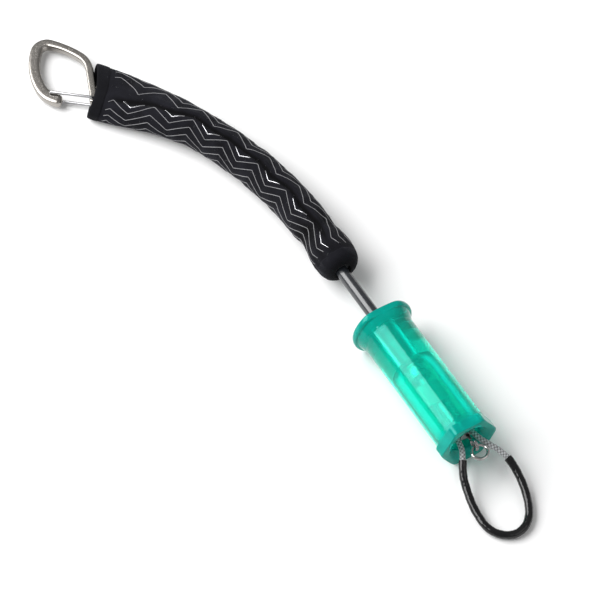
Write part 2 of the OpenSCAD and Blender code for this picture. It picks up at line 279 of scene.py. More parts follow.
def refined(node, name, material, body, bevel):
    """A CAD solid's shape with joined faces, small rounded edges and smooth shading."""
    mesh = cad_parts[node].data.copy()
    bm = bmesh.new()
    bm.from_mesh(mesh)
    bmesh.ops.remove_doubles(bm, verts=bm.verts, dist=2e-6)
    bmesh.ops.dissolve_limit(bm, angle_limit=math.radians(0.6), verts=bm.verts, edges=bm.edges)
    if bevel:
        edges = [e for e in bm.edges if len(e.link_faces) == 2 and e.calc_face_angle(0) > math.radians(30)]
        bmesh.ops.bevel(bm, geom=edges, offset=bevel * MM, segments=3, affect="EDGES", profile=0.5,
                        clamp_overlap=True)
    bmesh.ops.triangulate(bm, faces=[f for f in bm.faces if len(f.verts) > 4])
    bm.to_mesh(mesh)
    bm.free()
    return finished(name, mesh, material, body, (node,))


# ---- Finishes ----

class Finish:
    """A node material with its main shader at hand."""

    def __init__(self, name):
        self.material = bpy.data.materials.new(name)
        self.material.use_nodes = True
        self.nodes = self.material.node_tree.nodes
        self.links = self.material.node_tree.links
        self.shader = next(n for n in self.nodes if n.type == "BSDF_PRINCIPLED")
        self.place = self.nodes.new("ShaderNodeTexCoord").outputs["Object"]

    def put(self, name, value):
        self.shader.inputs[name].default_value = value

    def texture(self, kind, output, source, **values):
        """A node that reads a place: the piece's own, or the one given."""
        node = self.nodes.new(kind)
        for key, value in values.items():
            node.inputs[key].default_value = value
        self.links.new(source or self.place, node.inputs["Vector"])
        return node.outputs[output]

    def scaled(self, scale, source=None):
        return self.texture("ShaderNodeMapping", "Vector", source, Scale=scale)

    def run(self):
        node = self.nodes.new("ShaderNodeUVMap")
        node.uv_map = "run"
        return node.outputs["UV"]

    def height(self):
        node = self.nodes.new("ShaderNodeAttribute")
        node.attribute_name = "height"
        return node.outputs["Fac"]

    def noise(self, scale, detail=4.0, source=None):
        return self.texture("ShaderNodeTexNoise", "Fac", source, Scale=scale, Detail=detail, Roughness=0.6)

    def cells(self, scale):
        return self.texture("ShaderNodeTexVoronoi", "Distance", None, Scale=scale)

    def wave(self, source, direction):
        value = self.texture("ShaderNodeTexWave", "Fac", source, Scale=1.0)
        value.node.bands_direction = direction
        return value

    def ramp(self, value, *stops):
        node = self.nodes.new("ShaderNodeValToRGB")
        elements = node.color_ramp.elements
        while len(elements) < len(stops):
            elements.new(0.5)
        for element, (place, colour) in zip(elements, stops):
            element.position = place
            element.color = (*colour, 1) if hasattr(colour, "__len__") else (colour, colour, colour, 1)
        self.links.new(value, node.inputs["Fac"])
        return node.outputs["Color"]

    def math(self, operation, a, b):
        node = self.nodes.new("ShaderNodeMath")
        node.operation = operation
        for socket, value in zip(node.inputs, (a, b)):
            if hasattr(value, "is_output"):
                self.links.new(value, socket)
            else:
                socket.default_value = value
        return node.outputs["Value"]

    def to(self, name, value):
        self.links.new(value, self.shader.inputs[name])

    def bump(self, height, strength, distance):
        node = self.nodes.new("ShaderNodeBump")
        node.inputs["Strength"].default_value = strength
        node.inputs["Distance"].default_value = distance * MM
        self.links.new(height, node.inputs["Height"])
        if self.shader.inputs["Normal"].is_linked:
            self.links.new(self.shader.inputs["Normal"].links[0].from_socket, node.inputs["Normal"])
        self.links.new(node.outputs["Normal"], self.shader.inputs["Normal"])


def tinted_resin(name, clear, cloudy, low, high):
    """Tinted moulding, clear along its barrel and cloudier in the thick flanges at both ends of x."""
    f = Finish(name)
    split = f.nodes.new("ShaderNodeSeparateXYZ")
    f.links.new(f.place, split.inputs["Vector"])
    along = f.math("DIVIDE", f.math("SUBTRACT", split.outputs["X"], low), high - low)
    uneven = f.math("ADD", along, f.math("MULTIPLY", f.math("SUBTRACT", f.noise(70, 3), 0.5), 0.04))
    f.to("Base Color", f.ramp(uneven, (0.03, cloudy), (0.16, clear), (0.86, clear), (0.95, cloudy)))
    f.to("Transmission Weight", f.ramp(uneven, (0.03, 0.40), (0.14, 0.80), (0.88, 0.80), (0.96, 0.40)))
    f.put("IOR", 1.46)
    f.to("Roughness", f.ramp(f.noise(220, 5), (0.35, 0.03), (0.75, 0.09)))
    f.put("Specular IOR Level", 0.45)
    f.put("Specular Tint", (0.35, 1.0, 0.96, 1))
    f.bump(f.noise(38, 3, source=f.scaled((0.3, 1, 1))), 0.22, 0.25)
    f.bump(f.noise(300, 3), 0.08, 0.05)
    return f.material


def metal(name, colour, rough, brushed=False, wear=0.12):
    """Metal with fine polishing marks and small patches of wear."""
    f = Finish(name)
    dark = [c * (1 - wear) for c in colour]
    f.to("Base Color", f.ramp(f.noise(180, 6), (0.35, dark), (0.7, colour)))
    f.put("Metallic", 1.0)
    marks = f.noise(700, 3, source=f.scaled((0.15, 1, 1)) if brushed else None)
    f.to("Roughness", f.ramp(marks, (0.3, rough * 0.8), (0.75, rough * 1.25)))
    f.bump(marks, 0.06, 0.01)
    f.bump(f.noise(90, 2), 0.1, 0.06)
    return f.material


def gloss_black(name, colour, rough, ripple=0.2, shine=0.9):
    """Black plastic tube: glossy, with faint ripples from the extruder."""
    f = Finish(name)
    light = [c * 1.7 + 0.004 for c in colour]
    f.to("Base Color", f.ramp(f.noise(150, 5), (0.35, colour), (0.8, light)))
    f.to("Roughness", f.ramp(f.noise(400, 4), (0.35, rough * 0.8), (0.8, rough * 1.6)))
    f.put("Specular IOR Level", shine)
    f.bump(f.noise(320, 4), ripple, 0.1)
    return f.material


def knitted(name, dark, light, cell=0.55, sheen=0.06):
    """Fine knitted cloth that follows the piece's own run, with painted shade where the piece's height attribute is
    low.
    """
    f = Finish(name)
    run = f.scaled((75 / cell, 1000 / cell, 1), f.run())
    loops = f.math("MULTIPLY", f.wave(run, "X"), f.wave(run, "Y"))
    patches = f.noise(70, 6)
    both = f.math("ADD", f.math("MULTIPLY", loops, 0.45), f.math("MULTIPLY", patches, 0.75))
    # Multiplying by the height attribute paints shade into creases, hollows and the hem's roll.
    f.to("Base Color", f.ramp(f.math("MULTIPLY", both, f.height()), (0.12, dark), (0.7, light)))
    f.put("Roughness", 0.9)
    f.put("Sheen Weight", sheen)
    f.put("Sheen Roughness", 0.4)
    f.put("Sheen Tint", (0.6, 0.62, 0.7, 1))
    f.put("Specular IOR Level", 0.12)
    f.bump(loops, 0.5, 0.12)
    f.bump(f.noise(600, 3), 0.3, 0.1)
    return f.material


def yarn(name, dark, light, rough=0.75, top=0.62):
    """Braided yarn: fine filaments, and painted shade that darkens its hollows."""
    f = Finish(name)
    run = f.scaled((60, 2600, 1), f.run())
    fibres = f.noise(4.0, 4, source=run)
    both = f.math("ADD", f.math("MULTIPLY", fibres, 0.6), f.math("MULTIPLY", f.noise(500, 4), 0.6))
    # The squared height attribute darkens the braid's hollows: painted shade.
    high = f.math("MULTIPLY", f.height(), f.height())
    f.to("Base Color", f.ramp(f.math("MULTIPLY", both, high), (0.1, dark), (top, light)))
    f.put("Roughness", rough)
    f.put("Sheen Weight", 0.08)
    f.bump(fibres, 0.5, 0.1)
    return f.material


def foam(name, dark, light):
    """Closed-cell foam with small open pores on its cut faces."""
    f = Finish(name)
    cells = f.cells(900)
    f.to("Base Color", f.ramp(cells, (0.1, dark), (0.6, light)))
    f.put("Roughness", 0.95)
    f.bump(cells, 0.6, 0.25)
    return f.material


def painted_line(name, colour, rough=0.5, metallic=0.0):
    """Raised printed line, slightly uneven in tone."""
    f = Finish(name)
    f.to("Base Color", f.ramp(f.noise(260, 5), (0.3, [c * 0.55 for c in colour]), (0.75, colour)))
    f.put("Roughness", rough)
    f.put("Metallic", metallic)
    f.bump(f.noise(900, 3), 0.4, 0.05)
    return f.material


# ---- Node trees ----

def new_tree(name):
    tree = bpy.data.node_groups.new(name, "GeometryNodeTree")
    tree.interface.new_socket(name="Geometry", in_out="INPUT", socket_type="NodeSocketGeometry")
    tree.interface.new_socket(name="Geometry", in_out="OUTPUT", socket_type="NodeSocketGeometry")
    return tree


def add_input(tree, name, kind, default=None):
    item = tree.interface.new_socket(name=name, in_out="INPUT", socket_type=kind)
    if default is not None:
        item.default_value = default
    return item


def add(tree, kind, **values):
    node = tree.nodes.new(kind)
    for key, value in values.items():
        node.inputs[key].default_value = value
    return node


def join(tree, *pairs):
    """Links outputs to inputs: node, output, node, input."""
    for source, output, target, socket in pairs:
        tree.links.new(source.outputs[output], target.inputs[socket])


def divided(tree, by=None):
    node = add(tree, "ShaderNodeMath")
    node.operation = "DIVIDE"
    if by:
        node.inputs[1].default_value = by
    return node


def close_tree(tree, group, last, output):
    """Ends a tree in plain faces with the material on them."""
    real = add(tree, "GeometryNodeRealizeInstances")
    paint = add(tree, "GeometryNodeSetMaterial")
    join(tree, (last, output, real, "Geometry"), (real, "Geometry", paint, "Geometry"),
         (group, "Material", paint, "Material"), (paint, "Geometry", add(tree, "NodeGroupOutput"), "Geometry"))


def piping_tree():
    """Follows every edge line of a mesh with a round raised strip."""
    tree = new_tree("lip_grip_piping")
    add_input(tree, "Width", "NodeSocketFloat", 0.0005)
    add_input(tree, "Material", "NodeSocketMaterial")
    group = add(tree, "NodeGroupInput")
    half = divided(tree, 2)
    lines = add(tree, "GeometryNodeMeshToCurve")
    section = add(tree, "GeometryNodeCurvePrimitiveCircle", Resolution=6)
    strip = add(tree, "GeometryNodeCurveToMesh", **{"Fill Caps": True})
    join(tree, (group, "Geometry", lines, "Mesh"), (group, "Width", half, 0), (half, "Value", section, "Radius"),
         (lines, "Curve", strip, "Curve"), (section, "Curve", strip, "Profile Curve"))
    close_tree(tree, group, strip, "Mesh")
    return tree


def lint_tree():
    """Scatters short bent fibres over a surface, from a fixed seed."""
    tree = new_tree("lip_grip_lint")
    add_input(tree, "Density", "NodeSocketFloat", 20000.0)
    add_input(tree, "Fibre Length", "NodeSocketFloat", 0.0016)
    add_input(tree, "Fibre Width", "NodeSocketFloat", 0.00005)
    add_input(tree, "Seed", "NodeSocketInt", 7)
    add_input(tree, "Material", "NodeSocketMaterial")
    group = add(tree, "NodeGroupInput")
    scatter = add(tree, "GeometryNodeDistributePointsOnFaces")
    bend = add(tree, "GeometryNodeCurveQuadraticBezier", Resolution=4, Start=(0, 0, 0), Middle=(0, 0, 0.6),
               End=(0.55, 0, 1))
    section = add(tree, "GeometryNodeCurvePrimitiveCircle", Resolution=3)
    fibre = add(tree, "GeometryNodeCurveToMesh")
    place = add(tree, "GeometryNodeInstanceOnPoints")
    spin = add(tree, "FunctionNodeRandomValue")
    spin.data_type = "FLOAT_VECTOR"
    spin.inputs["Min"].default_value = (-0.9, -0.9, -3.1)
    spin.inputs["Max"].default_value = (0.9, 0.9, 3.1)
    turn = add(tree, "GeometryNodeRotateInstances")
    size = add(tree, "FunctionNodeRandomValue")
    shortest, longest = size.inputs[2], size.inputs[3]
    shortest.default_value, longest.default_value = 0.35, 1.0
    slender = divided(tree)
    scale = add(tree, "ShaderNodeMath")
    scale.operation = "MULTIPLY"
    join(tree, (group, "Geometry", scatter, "Mesh"), (group, "Density", scatter, "Density"),
         (group, "Seed", scatter, "Seed"), (group, "Fibre Width", slender, 0), (group, "Fibre Length", slender, 1),
         (slender, "Value", section, "Radius"), (bend, "Curve", fibre, "Curve"),
         (section, "Curve", fibre, "Profile Curve"), (scatter, "Points", place, "Points"),
         (scatter, "Rotation", place, "Rotation"), (fibre, "Mesh", place, "Instance"), (group, "Seed", size, "Seed"),
         (size, 1, scale, 0), (group, "Fibre Length", scale, 1), (scale, "Value", place, "Scale"),
         (place, "Instances", turn, "Instances"), (group, "Seed", spin, "Seed"), (spin, 0, turn, "Rotation"))
    close_tree(tree, group, turn, "Instances")
    return tree


def grown(name, source_mesh, tree, inputs, body):
    """Runs a node tree over a mesh and keeps the result as a plain piece."""
    carrier = placed(name + "_carrier", source_mesh)
    modifier = carrier.modifiers.new("grow", "NODES")
    modifier.node_group = tree
    names = {item.name: item.identifier for item in tree.interface.items_tree if item.in_out == "INPUT"}
    for key, value in inputs.items():
        modifier[names[key]] = value
    mesh = applied(carrier)
    carrier.modifiers.remove(modifier)
    bpy.data.objects.remove(carrier)
    if not mesh.polygons:
        raise RuntimeError(f"{name} came out empty")
    mesh.shade_smooth()
    obj = placed(name, mesh)
    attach(obj, body)
    return obj


# ---- Shapes ----

def braid(radius, strands, pitch, depth=0.24):
    """The radius of a braided cord at an angle and a distance along."""
    def at(angle, along):
        turn = strands * angle / (2 * math.pi)
        u, v = turn + strands * along / pitch, turn - strands * along / pitch
        i, j = round(u), round(v)
        left = math.sqrt(max(0.0, 1 - (1.9 * (u - i)) ** 2)) + 0.42 * math.cos(math.pi * (v - i))
        right = math.sqrt(max(0.0, 1 - (1.9 * (v - j)) ** 2)) - 0.42 * math.cos(math.pi * (u - j))
        return radius * (1 - depth * (1 - max(left, right) / 1.42))
    return at


def braid_heights(weave, distances, sides, radius, depth=0.24):
    """How high each point of a braid stands, from 0 in the hollows to 1."""
    return [min(1.0, max(0.0, 1 - (1 - weave(angle, along) / radius) / depth))
            for along in distances for angle in angles(sides)]


def braided(name, rings, distances, weave, radius, material, node, ends="cap"):
    """A braided cord that rides on the rod, from its rings and its weave."""
    return piece(name, shell(rings, distances, ends), material, "root", (node,), 80,
                 braid_heights(weave, distances, len(rings[0]), radius))


def bezier(t):
    p = SLEEVE_CURVE
    s = 1 - t
    return [s ** 3 * p[0][k] + 3 * s * s * t * p[1][k] + 3 * s * t * t * p[2][k] + t ** 3 * p[3][k] for k in (0, 1)]


def bezier_way(t):
    p = SLEEVE_CURVE
    s = 1 - t
    way = Vector([s * s * (p[1][k] - p[0][k]) + 2 * s * t * (p[2][k] - p[1][k]) + t * t * (p[3][k] - p[2][k])
                  for k in (0, 1)])
    return way.normalized()


def sleeve_half_width(t):
    return mix(SLEEVE_RADIUS, MOUTH_HALF_WIDTH, smooth((t - 0.62) / 0.38)) + 1 - smooth(abs(t - 0.06) / 0.07)


def sleeve_half_height(t):
    return (mix(SLEEVE_RADIUS, MOUTH_HALF_HEIGHT, smooth((t - 0.66) / 0.34))
            + 0.8 * (1 - smooth(abs(t - 0.06) / 0.07)))


def sleeve_z(t):
    return (mix(SLEEVE_RADIUS + 0.8, MOUTH_HALF_HEIGHT, smooth((t - 0.66) / 0.34))
            + (AXIS_Z - SLEEVE_RADIUS - 0.8) * (1 - smooth(t / 0.55)))


SLEEVE_LENGTH = line_length([Vector((*bezier(i / 200), 0)) for i in range(201)])
ZIGZAG_PERIOD = 28.0
ZIGZAG_RISE = 7.0
CREASE_ANGLE = math.radians(84)
COVER_FROM, COVER_TO = 0.03, 0.972


def zigzag(distance):
    """A zigzag of height 1, from -0.5 to 0.5, along the sleeve."""
    phase = (distance / ZIGZAG_PERIOD) % 1
    return abs(phase * 2 - 1) - 0.5


def crease_angle(t):
    """Where the lengthwise crease runs, swaying with the pattern."""
    return CREASE_ANGLE - 0.16 * smooth((t - 0.6) / 0.4) + 0.12 * zigzag(t * SLEEVE_LENGTH) \
        + 0.04 * math.sin(t * 31)


def relief(t, angle):
    """How far the cloth stands from the plain sleeve, in millimetres."""
    distance = t * SLEEVE_LENGTH
    away = (angle - crease_angle(t) + math.pi) % (2 * math.pi) - math.pi
    body = smooth((t - 0.05) / 0.08) * (1 - smooth((t - 0.9) / 0.07))
    crease = -1.5 * hump(away, 0.11) + 0.4 * hump(away - 0.25, 0.12) + 0.35 * hump(away + 0.25, 0.13)
    puff = 0.22 * math.sin(distance / ZIGZAG_PERIOD * 2 * math.pi + 2.2 * math.sin(angle)) \
        * math.cos(3 * angle + distance * 0.05)
    folds = 0.16 * math.sin(distance * 0.61 + 2.1 * math.sin(2 * angle + 0.4)) \
        * math.sin(angle * 5 + distance * 0.11)
    neck = -0.9 * hump(t - 0.125, 0.028) + 0.25 * hump(t - 0.13, 0.05) * math.sin(11 * angle + 1.3)
    pleats = 0.3 * hump(t - 0.045, 0.03) * math.sin(9 * angle + 5 * math.sin(angle))
    mouth = 0.25 * smooth((t - 0.8) / 0.15) * math.sin(4 * angle + 9 * t)
    return body * (crease + puff + folds) + neck + pleats + mouth - 0.25


def pattern_point(distance, angle, rise, inset=0.0):
    """A point of the zigzag line that runs at an angle round the sleeve."""
    t = distance / SLEEVE_LENGTH
    girth = math.pi * (sleeve_half_width(t) + sleeve_half_height(t))
    return sleeve_point(t, angle + rise * zigzag(distance) / girth * 2 * math.pi, inset)


def sleeve_point(t, angle, inset=0.0, detail=1.0):
    """A point of the sleeve's surface, in millimetres."""
    c, w = bezier(t), bezier_way(t)
    side = (-w[1], w[0])
    out = relief(t, angle) * detail if detail else 0.0
    a, b = sleeve_half_width(t) - inset + out, sleeve_half_height(t) - inset + out
    slant = smooth((t - 0.86) / 0.14)
    e = mix(1, 0.7, smooth((t - 0.7) / 0.3))
    x, z = a * blunt(math.cos(angle), e), b * blunt(math.sin(angle), e)
    ahead = -slant * ((0.22 if x > 0 else 0.42) * x + 0.3 * z)
    return Vector((c[0] + side[0] * x + w[0] * ahead, c[1] + side[1] * x + w[1] * ahead,
                   max(CLEAR_OF_FLOOR, sleeve_z(t) + z))) + HANDLE


def sleeve_ring(t, sides, inset=0.0, detail=1.0):
    return [sleeve_point(t, angle, inset, detail) for angle in angles(sides)]


def edge_lines(name, lines):
    """A mesh of edges only, with one line for each list of points in millimetres."""
    points, edges = [], []
    for line in lines:
        start = len(points)
        points += [p * MM for p in line]
        edges += [(start + i, start + i + 1) for i in range(len(line) - 1)]
    mesh = bpy.data.meshes.new(name)
    mesh.from_pydata(points, edges, [])
    return mesh


def arc_end(place, heading, length, turn):
    """Where a bent length of bar ends."""
    if abs(turn) < 1e-4:
        return Vector((place[0] + length * math.cos(heading), place[1] + length * math.sin(heading)))
    r = length / turn
    return Vector((place[0] + r * (math.sin(heading + turn) - math.sin(heading)),
                   place[1] + r * (math.cos(heading) - math.cos(heading + turn))))


def clip_turn():
    return Matrix.Rotation(CLIP_HEADING, 3, "Z") @ Matrix.Rotation(-CLIP_DIP, 3, "X")


def lug_point():
    return HANDLE + CLIP_PLACE + clip_turn() @ Vector((*LUG_PLACE, 0))


def leash_way(d):
    return Vector((math.cos(LEASH_HEADING), math.sin(LEASH_HEADING), 0)) * d


# ---- Settings ----

def colour_property(name, description, default):
    return FloatVectorProperty(name=name, description=description, default=default, subtype="COLOR", min=0, max=1,
                               size=3)


def length_property(name, description, default, low=0.0):
    return FloatProperty(name=name, description=description, default=default, min=low, unit="LENGTH",
                         subtype="DISTANCE", precision=5)


class LipGripHandleSettings(bpy.types.PropertyGroup):
    """Sizes and colours of the handle."""
    tint: colour_property("Tint", "Tint that light takes each time it passes the clear barrel", (0.0, 0.90, 0.68))
    cloudy: colour_property("Cloudy tint", "Colour of the thick, cloudy flanges", (0.0, 0.40, 0.33))
    dome: length_property("Dome", "How far the upper flange's face rises to the rod", 0.0014)


class LipGripSleeveSettings(bpy.types.PropertyGroup):
    """Sizes and colours of the floating sleeve."""
    # The dark colour also serves as painted shade in the sleeve's crease and the hem's roll.
    cloth_dark: colour_property("Cloth, dark", "Colour in the knit's hollows", (0.0012, 0.0012, 0.0016))
    cloth_light: colour_property("Cloth, light", "Colour on the knit's loops", (0.012, 0.012, 0.017))
    line_colour: colour_property("Line colour", "Colour of the zigzag lines", (0.30, 0.30, 0.31))
    line_width: length_property("Line width", "Width of the zigzag lines", 0.0004)
    lines: IntProperty(name="Lines", description="Zigzag lines round the sleeve", default=15, min=0, max=30)
    lint: FloatProperty(name="Lint", description="Loose fibres per square metre", default=22000, min=0, max=100000)


class LipGripClipSettings(bpy.types.PropertyGroup):
    """Finish of the clip."""
    metal_colour: colour_property("Metal", "Colour of the forged bar", (0.37, 0.35, 0.325))
    wire_colour: colour_property("Wire", "Colour of the gate's wire", (0.42, 0.42, 0.43))


class LipGripLoopSettings(bpy.types.PropertyGroup):
    """Finish of the gripping loop and rod."""
    line_colour: colour_property("Line", "Colour of the braided line", (0.40, 0.41, 0.42))
    cover_colour: colour_property("Cover", "Colour of the tube over the line", (0.003, 0.003, 0.0035))
    tube_colour: colour_property("Rod tube", "Colour of the tube over the rod", (0.012, 0.014, 0.017))


class LipGripStageSettings(bpy.types.PropertyGroup):
    """Floor, lights and camera."""
    floor_colour: colour_property("Floor", "Colour of the floor", (0.93, 0.93, 0.93))
    key_power: FloatProperty(name="Key light", description="Power of the large soft light", default=41, min=0,
                             unit="POWER")
    fill_power: FloatProperty(name="Fill light", description="Power of the fill light", default=3.5, min=0,
                              unit="POWER")
    sky: FloatProperty(name="Sky", description="Brightness all round", default=0.32, min=0)


# ---- Operators ----

class LIPGRIP_OT_stage(bpy.types.Operator):
    """Make the floor, the soft lights and the camera"""
    bl_idname = "lip_grip.stage"
    bl_label = "Stage"

    def execute(self, context):
        settings = context.scene.lip_grip_stage
        scene = context.scene
        scene.view_settings.view_transform = "Standard"
        world = scene.world or bpy.data.worlds.new("studio")
        scene.world = world
        world.use_nodes = True
        background = world.node_tree.nodes["Background"]
        background.inputs["Color"].default_value = (1, 1, 1, 1)
        background.inputs["Strength"].default_value = settings.sky

        mesh = bpy.data.meshes.new("floor")
        reach, low = 4.0, -0.0002
        corners = [(x * reach, y * reach, low) for x, y in ((-1, -1), (1, -1), (1, 1), (-1, 1))]
        mesh.from_pydata(corners, [], [(0, 1, 2, 3)])
        f = Finish("floor_paper")
        colour = list(settings.floor_colour)
        f.to("Base Color", f.ramp(f.noise(3, 2), (0.3, [c * 0.985 for c in colour]), (0.7, colour)))
        f.put("Roughness", 0.9)
        f.put("Specular IOR Level", 0.1)
        mesh.materials.append(f.material)
        floor = placed("floor", mesh)

        aim = Vector((0.05, 0.0, 0.01))
        self.light("key_light", aim, (-0.45, -0.5, 0.66), 1.5, (1.7, 1.25), settings.key_power)
        self.light("fill_light", aim, (0.7, 0.35, 0.62), 1.6, (1.2, 1.2), settings.fill_power)
        self.camera(scene)
        return {"FINISHED"}

    def light(self, name, aim, way, distance, size, power):
        data = bpy.data.lights.new(name, "AREA")
        data.shape = "RECTANGLE"
        data.size, data.size_y = size
        data.energy = power
        lamp = placed(name, data)
        lamp.location = aim + Vector(way).normalized() * distance
        lamp.rotation_euler = (aim - lamp.location).to_track_quat("-Z", "Y").to_euler()

    def camera(self, scene):
        data = bpy.data.cameras.new("camera")
        data.lens, data.sensor_width = 202.9, 36
        data.clip_end = 20
        data.dof.use_dof = False
        camera = placed("camera", data)
        right, up = Vector((0.5135, 0.8581, 0)), Vector((-0.7030, 0.4207, 0.5736))
        look = Vector((-0.4922, 0.2946, -0.8192))
        turn = Matrix((right, up, -look)).transposed()
        anchor = (HANDLE + Vector((0.05, -1.3, 16))) * MM
        distance, leftward, upward = 1.9, 0.067584, 0.045618
        camera.location = anchor - look * distance - right * leftward + up * upward
        camera.rotation_euler = turn.to_euler()
        scene.camera = camera


class LIPGRIP_OT_loop(bpy.types.Operator):
    """Make the braided gripping loop and the black tube over it"""
    bl_idname = "lip_grip.loop"
    bl_label = "Gripping loop"

    def execute(self, context):
        settings = context.scene.lip_grip_loop
        grey = list(settings.line_colour)
        # The very dark end is painted shade in the braid's hollows.
        line_yarn = yarn("line_yarn", [c * 0.06 for c in grey], [min(1, c * 1.9) for c in grey], 0.5, 0.7)
        whole, covered, first_leg = ([p + HANDLE for p in smooth_route(LINE_ROUTE, start, stop, 12)]
                                     for start, stop in ((0, len(LINE_ROUTE) - 1), (COVER_START, COVER_STOP),
                                                         (0, COVER_START)))
        near = line_length(first_leg)
        far = near + line_length(covered)
        # Fine rows where the line is bare, coarser ones where the tube hides it
        step, hidden_every, margin = 0.24, 6, 3
        fine = evened(whole, step)
        points = [p for i, p in enumerate(fine) if i * step < near + margin or i * step > far - margin
                  or i % hidden_every == 0 or i == len(fine) - 1]
        weave = braid(LINE_RADIUS, 4, 8.4)
        line = braided("loop_line_braid", *tube_rings(points, weave, 48), weave, LINE_RADIUS, line_yarn, "loop_line")

        black = gloss_black("loop_cover_tube", list(settings.cover_colour), 0.08, 0.6, 0.42)
        route = evened(covered, 0.8)

        def lumpy(angle, along):
            return LOOP_COVER_RADIUS - 0.1 + 0.05 * math.sin(along * 0.9 + 2 * angle) \
                + 0.04 * math.sin(along * 2.3 - 3 * angle + 1) + 0.03 * math.sin(5 * angle + along * 0.37)

        outer, inner = (tube_rings(route, radius, 40)[0] for radius in (lumpy, LINE_RADIUS + 0.12))
        skin = shell(outer + inner[::-1], None, "loop")
        cover = piece("loop_cover_tube", skin, black, "root", ("loop_cover",), 50)

        path = [p * MM for p in evened(whole, 2.0)]
        return {"FINISHED"}


class LIPGRIP_OT_handle(bpy.types.Operator):
    """Make the tinted bobbin handle with its flanges and hollow end"""
    bl_idname = "lip_grip.handle"
    bl_label = "Handle"

    def profile(self, dome):
        """The closed outline of the moulding, from the bore's upper edge round: x along the axis, then radius."""
        top, face, rim = HANDLE_TOP, HANDLE_FACE, LOWER_RIM_RADIUS
        seat, lip, thick, flare = 6.6, UPPER_RIM_RADIUS - 1.6, 4.2, 12
        waist_end, fillet, edge = face - 7.3, 0.8, 1.2
        points = [(top + 0.5, BUSH_HOLE), (top + 0.12, BUSH_HOLE + 0.25), (top, BUSH_HOLE + 0.9), (top, seat)]
        points += [(top + dome * (k / 12) ** 1.8, mix(seat, lip, k / 12)) for k in range(1, 13)]
        points += [(top + dome + thick / 2 * (1 - math.cos(2 * a)), lip + 1.6 * max(0, math.sin(2 * a)) ** 0.7)
                   for a in quarter(10)]
        points += [(top + dome + thick + (flare - dome - thick) * math.sin(a),
                    BARREL + (lip - BARREL) * (1 - math.sin(a)) ** 1.2) for a in quarter(12)]
        points += [(mix(top + flare, waist_end, k / 26), BARREL) for k in range(1, 27)]
        points += [(waist_end + fillet * math.sin(a), BARREL + fillet * (1 - math.cos(a))) for a in quarter(6)]
        points.append((face - 6.5, rim - edge))
        points += [(face - 5.3 - edge * math.cos(a), rim - edge + edge * math.sin(a)) for a in quarter(6)]
        points.append((face - 3, rim))
        points += [(face - edge + edge * math.sin(a), rim - edge + edge * math.cos(a)) for a in [0, *quarter(6)]]
        points += [(face, 15.5), (face, 13.6), (face - 0.12, 12.9), (face - 0.6, 12.3), (face - 1.8, 10.6),
                   (face - 2.8, 9.3), (face - 3.6, HOLLOW_RADIUS)]
        # Back through the hollow, over the bush's shoulder and up the bore
        points += [(face - 10, HOLLOW_RADIUS), (20, HOLLOW_RADIUS), (0, HOLLOW_RADIUS),
                   (SHOULDER_X + 0.4, HOLLOW_RADIUS), (SHOULDER_X + 0.1, HOLLOW_RADIUS - 0.2),
                   (SHOULDER_X, HOLLOW_RADIUS - 0.5), (SHOULDER_X, BUSH_HOLE + 0.5),
                   (SHOULDER_X - 0.1, BUSH_HOLE + 0.1), (SHOULDER_X - 0.5, BUSH_HOLE), (-20, BUSH_HOLE),
                   (-33, BUSH_HOLE)]
        return points

    def cut(self, x, angle, radius):
        """Radius at an angle from the top once the flats are cut, with softly rounded corners."""
        limits = [FLAT_HEIGHT / max(abs(math.cos(angle)), 1e-3)]
        if x > 0:
            for face in (60, 120):
                limits.append(FLAT_HEIGHT / max(abs(math.cos(angle - math.radians(face))), 1e-3))
        crispness = 26
        total = radius ** -crispness + sum(limit ** -crispness for limit in limits)
        return total ** (-1 / crispness)

    def execute(self, context):
        settings = context.scene.lip_grip_handle
        low, high = (corner[0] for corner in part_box("handle_body"))
        resin = tinted_resin("tinted_resin", list(settings.tint), list(settings.cloudy), low, high)
        rings = []
        for x, radius in self.profile(settings.dome / MM):
            ring = []
            for angle in angles(144):
                r = self.cut(x, angle, radius) if radius > BARREL + 0.01 else min(radius, BARREL)
                ring.append(HANDLE + Vector((x, r * math.sin(angle), AXIS_Z + r * math.cos(angle))))
            rings.append(ring)
        piece("handle_moulding", shell(rings, None, "loop"), resin, "handle", ("handle_body",), 60)
        return {"FINISHED"}


class LIPGRIP_OT_fittings(bpy.types.Operator):
    """Make the rod, its tube, bush, washer, collar, crimps, eye and ring"""
    bl_idname = "lip_grip.fittings"
    bl_label = "Rod and fittings"

    def execute(self, context):
        settings = context.scene.lip_grip_loop
        steel = metal("satin_steel", (0.5, 0.5, 0.51), 0.28)
        bright = metal("polished_steel", (0.55, 0.53, 0.52), 0.12)
        dark = metal("darkened_steel", (0.34, 0.33, 0.33), 0.16)
        crimp = metal("crimped_aluminium", (0.66, 0.66, 0.67), 0.34)
        black = gloss_black("bush_black", [0.008, 0.009, 0.01], 0.4)
        tube = gloss_black("rod_tube_black", list(settings.tube_colour), 0.2)
        for node, ending, material, body, edge in (
                ("rod_tube", "skin", tube, "root", 0.3), ("rod_core", "bar", steel, "root", 0.3),
                ("rod_ferrule", "sleeve", crimp, "root", 0.2), ("stop_collar", "turned", steel, "root", 0.3),
                ("loop_ferrule", "pressed", crimp, "root", 0.4), ("end_eye", "wire", dark, "root", 0),
                ("eye_crimp", "sleeve", dark, "root", 0.25), ("keeper_ring", "wire", bright, "ring", 0),
                ("thrust_washer", "turned", bright, "slider", 0.1), ("slide_bush", "liner", black, "slider", 0.3),
                ("eye_ferrule", "sleeve", crimp, "root", 0.3)):
            refined(node, f"{node}_{ending}", material, body, edge)
        return {"FINISHED"}


